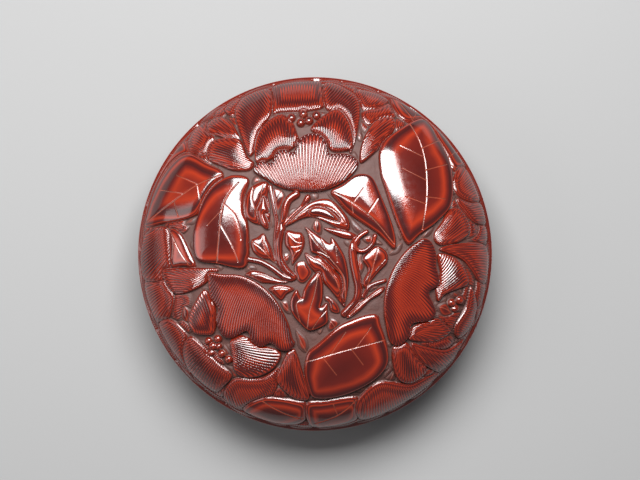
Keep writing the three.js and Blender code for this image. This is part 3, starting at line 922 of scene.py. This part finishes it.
class Tree:
    def __init__(self, name):
        self.mat = bpy.data.materials.new(name)
        self.mat.use_nodes = True
        self.nt = self.mat.node_tree
        self.nt.nodes.clear()
        self.out = self.nt.nodes.new("ShaderNodeOutputMaterial")
        self.bsdf = self.nt.nodes.new("ShaderNodeBsdfPrincipled")
        self.link(self.bsdf.outputs[0], self.out.inputs[0])

    def link(self, a, b):
        self.nt.links.new(a, b)

    def node(self, kind, **props):
        n = self.nt.nodes.new(kind)
        for k, v in props.items():
            setattr(n, k, v)
        return n

    def math(self, op, a, b=None, clamp=False):
        n = self.node("ShaderNodeMath", operation=op, use_clamp=clamp)
        for i, v in enumerate((a, b)):
            if v is None:
                continue
            if isinstance(v, (int, float)):
                n.inputs[i].default_value = v
            else:
                self.link(v, n.inputs[i])
        return n.outputs[0]

    def mix(self, fac, a, b, blend="MIX"):
        n = self.node("ShaderNodeMix", data_type="RGBA", blend_type=blend)
        for sock, v in ((n.inputs[0], fac), (n.inputs[6], a), (n.inputs[7], b)):
            if isinstance(v, (int, float, tuple)):
                sock.default_value = v
            else:
                self.link(v, sock)
        return n.outputs[2]

    def noise(self, vector, scale, detail=3.0, rough=0.55, distortion=0.0):
        n = self.node("ShaderNodeTexNoise")
        n.inputs["Scale"].default_value = scale
        n.inputs["Detail"].default_value = detail
        n.inputs["Roughness"].default_value = rough
        n.inputs["Distortion"].default_value = distortion
        self.link(vector, n.inputs["Vector"])
        return n.outputs[0]

    def ramp(self, fac, stops, mode="LINEAR"):
        n = self.node("ShaderNodeValToRGB")
        n.color_ramp.interpolation = mode
        el = n.color_ramp.elements
        while len(el) > 1:
            el.remove(el[-1])
        el[0].position, el[0].color = stops[0]
        for pos, col in stops[1:]:
            e = el.new(pos)
            e.color = col
        self.link(fac, n.inputs[0])
        return n.outputs[0]

    def range(self, v, a, b, c, d):
        n = self.node("ShaderNodeMapRange")
        for i, k in enumerate((a, b, c, d)):
            n.inputs[i + 1].default_value = k
        self.link(v, n.inputs[0])
        return n.outputs[0]


def carved_material():
    t = Tree("carved_red_lacquer")
    pos = t.node("ShaderNodeTexCoord").outputs["Object"]

    def attr(name):
        n = t.node("ShaderNodeAttribute", attribute_type="GEOMETRY", attribute_name=name)
        return n.outputs["Fac"]

    depth, line, ground = attr("depth"), attr("line"), attr("ground")
    wobble = t.noise(pos, 55, 2)
    d = t.math("ADD", depth, t.math("MULTIPLY", t.math("SUBTRACT", wobble, 0.5), 0.35))
    fac = t.math("DIVIDE", d, 3.2, clamp=True)
    dark, mid, bright, maroon = srgb(66, 10, 5), srgb(90, 18, 8), srgb(138, 38, 13), srgb(50, 10, 9)
    stops = [
        (0.00, dark), (0.07, mid), (0.12, bright), (0.16, mid), (0.20, maroon), (0.25, dark), (0.30, bright), (0.33, mid),
        (0.37, maroon), (0.41, bright), (0.45, dark), (0.50, mid), (0.54, bright), (0.57, maroon), (0.62, mid), (0.66, bright),
        (0.70, dark), (0.75, maroon), (0.80, bright), (0.84, dark), (0.90, mid), (1.0, maroon),
    ]
    strata = t.ramp(fac, stops)
    cloud = t.noise(pos, 30, 4)
    strata = t.mix(t.range(cloud, 0.4, 0.7, 0.0, 0.25), strata, srgb(48, 10, 11))
    earth = t.mix(t.noise(pos, 260, 3), srgb(52, 19, 11), srgb(76, 31, 18))
    colour = t.mix(ground, strata, earth)
    colour = t.mix(t.math("MULTIPLY", line, 0.75, clamp=True), colour, srgb(140, 72, 48))
    t.link(colour, t.bsdf.inputs["Base Color"])
    rough = t.range(t.noise(pos, 420, 4), 0.3, 0.75, 0.09, 0.17)
    rough = t.math("ADD", rough, t.math("MULTIPLY", ground, 0.6))
    rough = t.math("ADD", rough, t.math("MULTIPLY", line, 0.25), clamp=True)
    t.link(rough, t.bsdf.inputs["Roughness"])
    bump = t.node("ShaderNodeBump")
    bump.inputs["Strength"].default_value = 0.25
    bump.inputs["Distance"].default_value = 0.0002
    grain = t.math("MULTIPLY", t.noise(pos, 900, 4), t.math("ADD", t.math("MULTIPLY", ground, 2.5), 0.35))
    t.link(grain, bump.inputs["Height"])
    t.link(bump.outputs[0], t.bsdf.inputs["Normal"])
    t.bsdf.inputs["IOR"].default_value = 1.7
    return t.mat


def black_material():
    t = Tree("black_lacquer")
    pos = t.node("ShaderNodeTexCoord").outputs["Object"]
    t.link(t.mix(t.noise(pos, 40, 4), srgb(22, 14, 13), srgb(38, 22, 18)), t.bsdf.inputs["Base Color"])
    t.link(t.range(t.noise(pos, 160, 5), 0.3, 0.8, 0.14, 0.34), t.bsdf.inputs["Roughness"])
    bump = t.node("ShaderNodeBump")
    bump.inputs["Strength"].default_value = 0.2
    bump.inputs["Distance"].default_value = 0.0002
    t.link(t.noise(pos, 70, 3), bump.inputs["Height"])
    t.link(bump.outputs[0], t.bsdf.inputs["Normal"])
    return t.mat


def wood_material():
    t = Tree("core_wood")
    pos = t.node("ShaderNodeTexCoord").outputs["Object"]
    m = t.node("ShaderNodeMapping")
    m.inputs["Scale"].default_value = (12, 140, 140)
    t.link(pos, m.inputs["Vector"])
    grain = t.noise(m.outputs[0], 1.6, 6, 0.6, 0.4)
    t.link(t.ramp(grain, [(0.3, srgb(126, 90, 54)), (0.5, srgb(168, 128, 82)), (0.7, srgb(190, 152, 104))]), t.bsdf.inputs["Base Color"])
    t.bsdf.inputs["Roughness"].default_value = 0.7
    bump = t.node("ShaderNodeBump")
    bump.inputs["Strength"].default_value = 0.3
    bump.inputs["Distance"].default_value = 0.0003
    t.link(grain, bump.inputs["Height"])
    t.link(bump.outputs[0], t.bsdf.inputs["Normal"])
    return t.mat


carved_red = carved_material()
black = black_material()
wood = wood_material()


def dress(ob, material):
    ob.data.materials.clear()
    ob.data.materials.append(material)


for ob, material, body, node, slot in (
    (lid_coat, carved_red, "lid", "lid_carved_lacquer", "carved_red_lacquer"),
    (base_coat, carved_red, "base", "base_carved_lacquer", "carved_red_lacquer"),
    (lid_lining, black, "lid", "lid_lining", "black_lacquer"),
    (base_lining, black, "base", "base_lining", "black_lacquer"),
    (flange, black, "base", "base_locating_flange", "black_lacquer"),
    (foot, black, "base", "base_foot_ring", "black_lacquer"),
    (bottom, black, "base", "base_bottom_lacquer", "black_lacquer"),
    (lid_hoop, wood, "lid", "lid_core_hoop_rim", "wood_core"),
    (base_hoop, wood, "base", "base_core_hoop_rim", "wood_core"),
):
    dress(ob, material)
    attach(ob, body)
    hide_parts(node)

for name in (
    "lid_core_disc", "lid_core_hoop_upper", "lid_core_hoop_middle",
    "base_core_disc", "base_core_hoop_lower", "base_core_hoop_middle",
):
    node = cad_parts[name]
    for s in node.material_slots:
        s.material = wood

# -------------------------------------------------------- floor, light, camera
floor_mesh = bpy.data.meshes.new("floor")
floor_mesh.from_pydata([(-3, -3, 0), (3, -3, 0), (3, 3, 0), (-3, 3, 0)], [], [(0, 1, 2, 3)])
floor = bpy.data.objects.new("floor", floor_mesh)
bpy.context.scene.collection.objects.link(floor)
ft = Tree("pale_floor")
ft.bsdf.inputs["Base Color"].default_value = (0.26, 0.26, 0.26, 1)
ft.bsdf.inputs["Roughness"].default_value = 0.85
dress(floor, ft.mat)

world = bpy.data.worlds.new("studio")
bpy.context.scene.world = world
world.use_nodes = True
world.node_tree.nodes["Background"].inputs[0].default_value = (0.8, 0.8, 0.82, 1)
world.node_tree.nodes["Background"].inputs[1].default_value = 0.22


def softbox(name, at, look, size, power):
    data = bpy.data.lights.new(name, "AREA")
    data.shape = "RECTANGLE"
    data.size, data.size_y = size
    data.energy = power
    ob = bpy.data.objects.new(name, data)
    bpy.context.scene.collection.objects.link(ob)
    from mathutils import Vector

    d = Vector(look) - Vector(at)
    ob.location = at
    ob.rotation_euler = d.to_track_quat("-Z", "Y").to_euler()
    return ob


softbox("key", (-0.02, 0.34, 0.70), (0, 0, 0.03), (0.6, 0.36), 15.0)
softbox("fill_left", (-0.7, -0.1, 0.5), (0, 0, 0.03), (0.5, 0.5), 1.6)

cam_data = bpy.data.cameras.new("camera")
cam = bpy.data.objects.new("camera", cam_data)
bpy.context.scene.collection.objects.link(cam)
CAM_Z = 0.95
focal_px = RIM / (R * MM) * (CAM_Z - LID_SPRING * MM)
cam_data.sensor_fit = "HORIZONTAL"
cam_data.sensor_width = 36.0
cam_data.lens = focal_px * 36.0 / 640
cam_data.shift_x = (320 - CX) / 640
cam_data.shift_y = (CY - 240) / 640
cam_data.clip_start = 0.01
cam.location = (0, 0, CAM_Z)
cam.rotation_euler = (0, 0, 0)
bpy.context.scene.camera = cam
bpy.context.scene.view_settings.view_transform = "Standard"
bpy.context.scene.view_settings.look = "None"
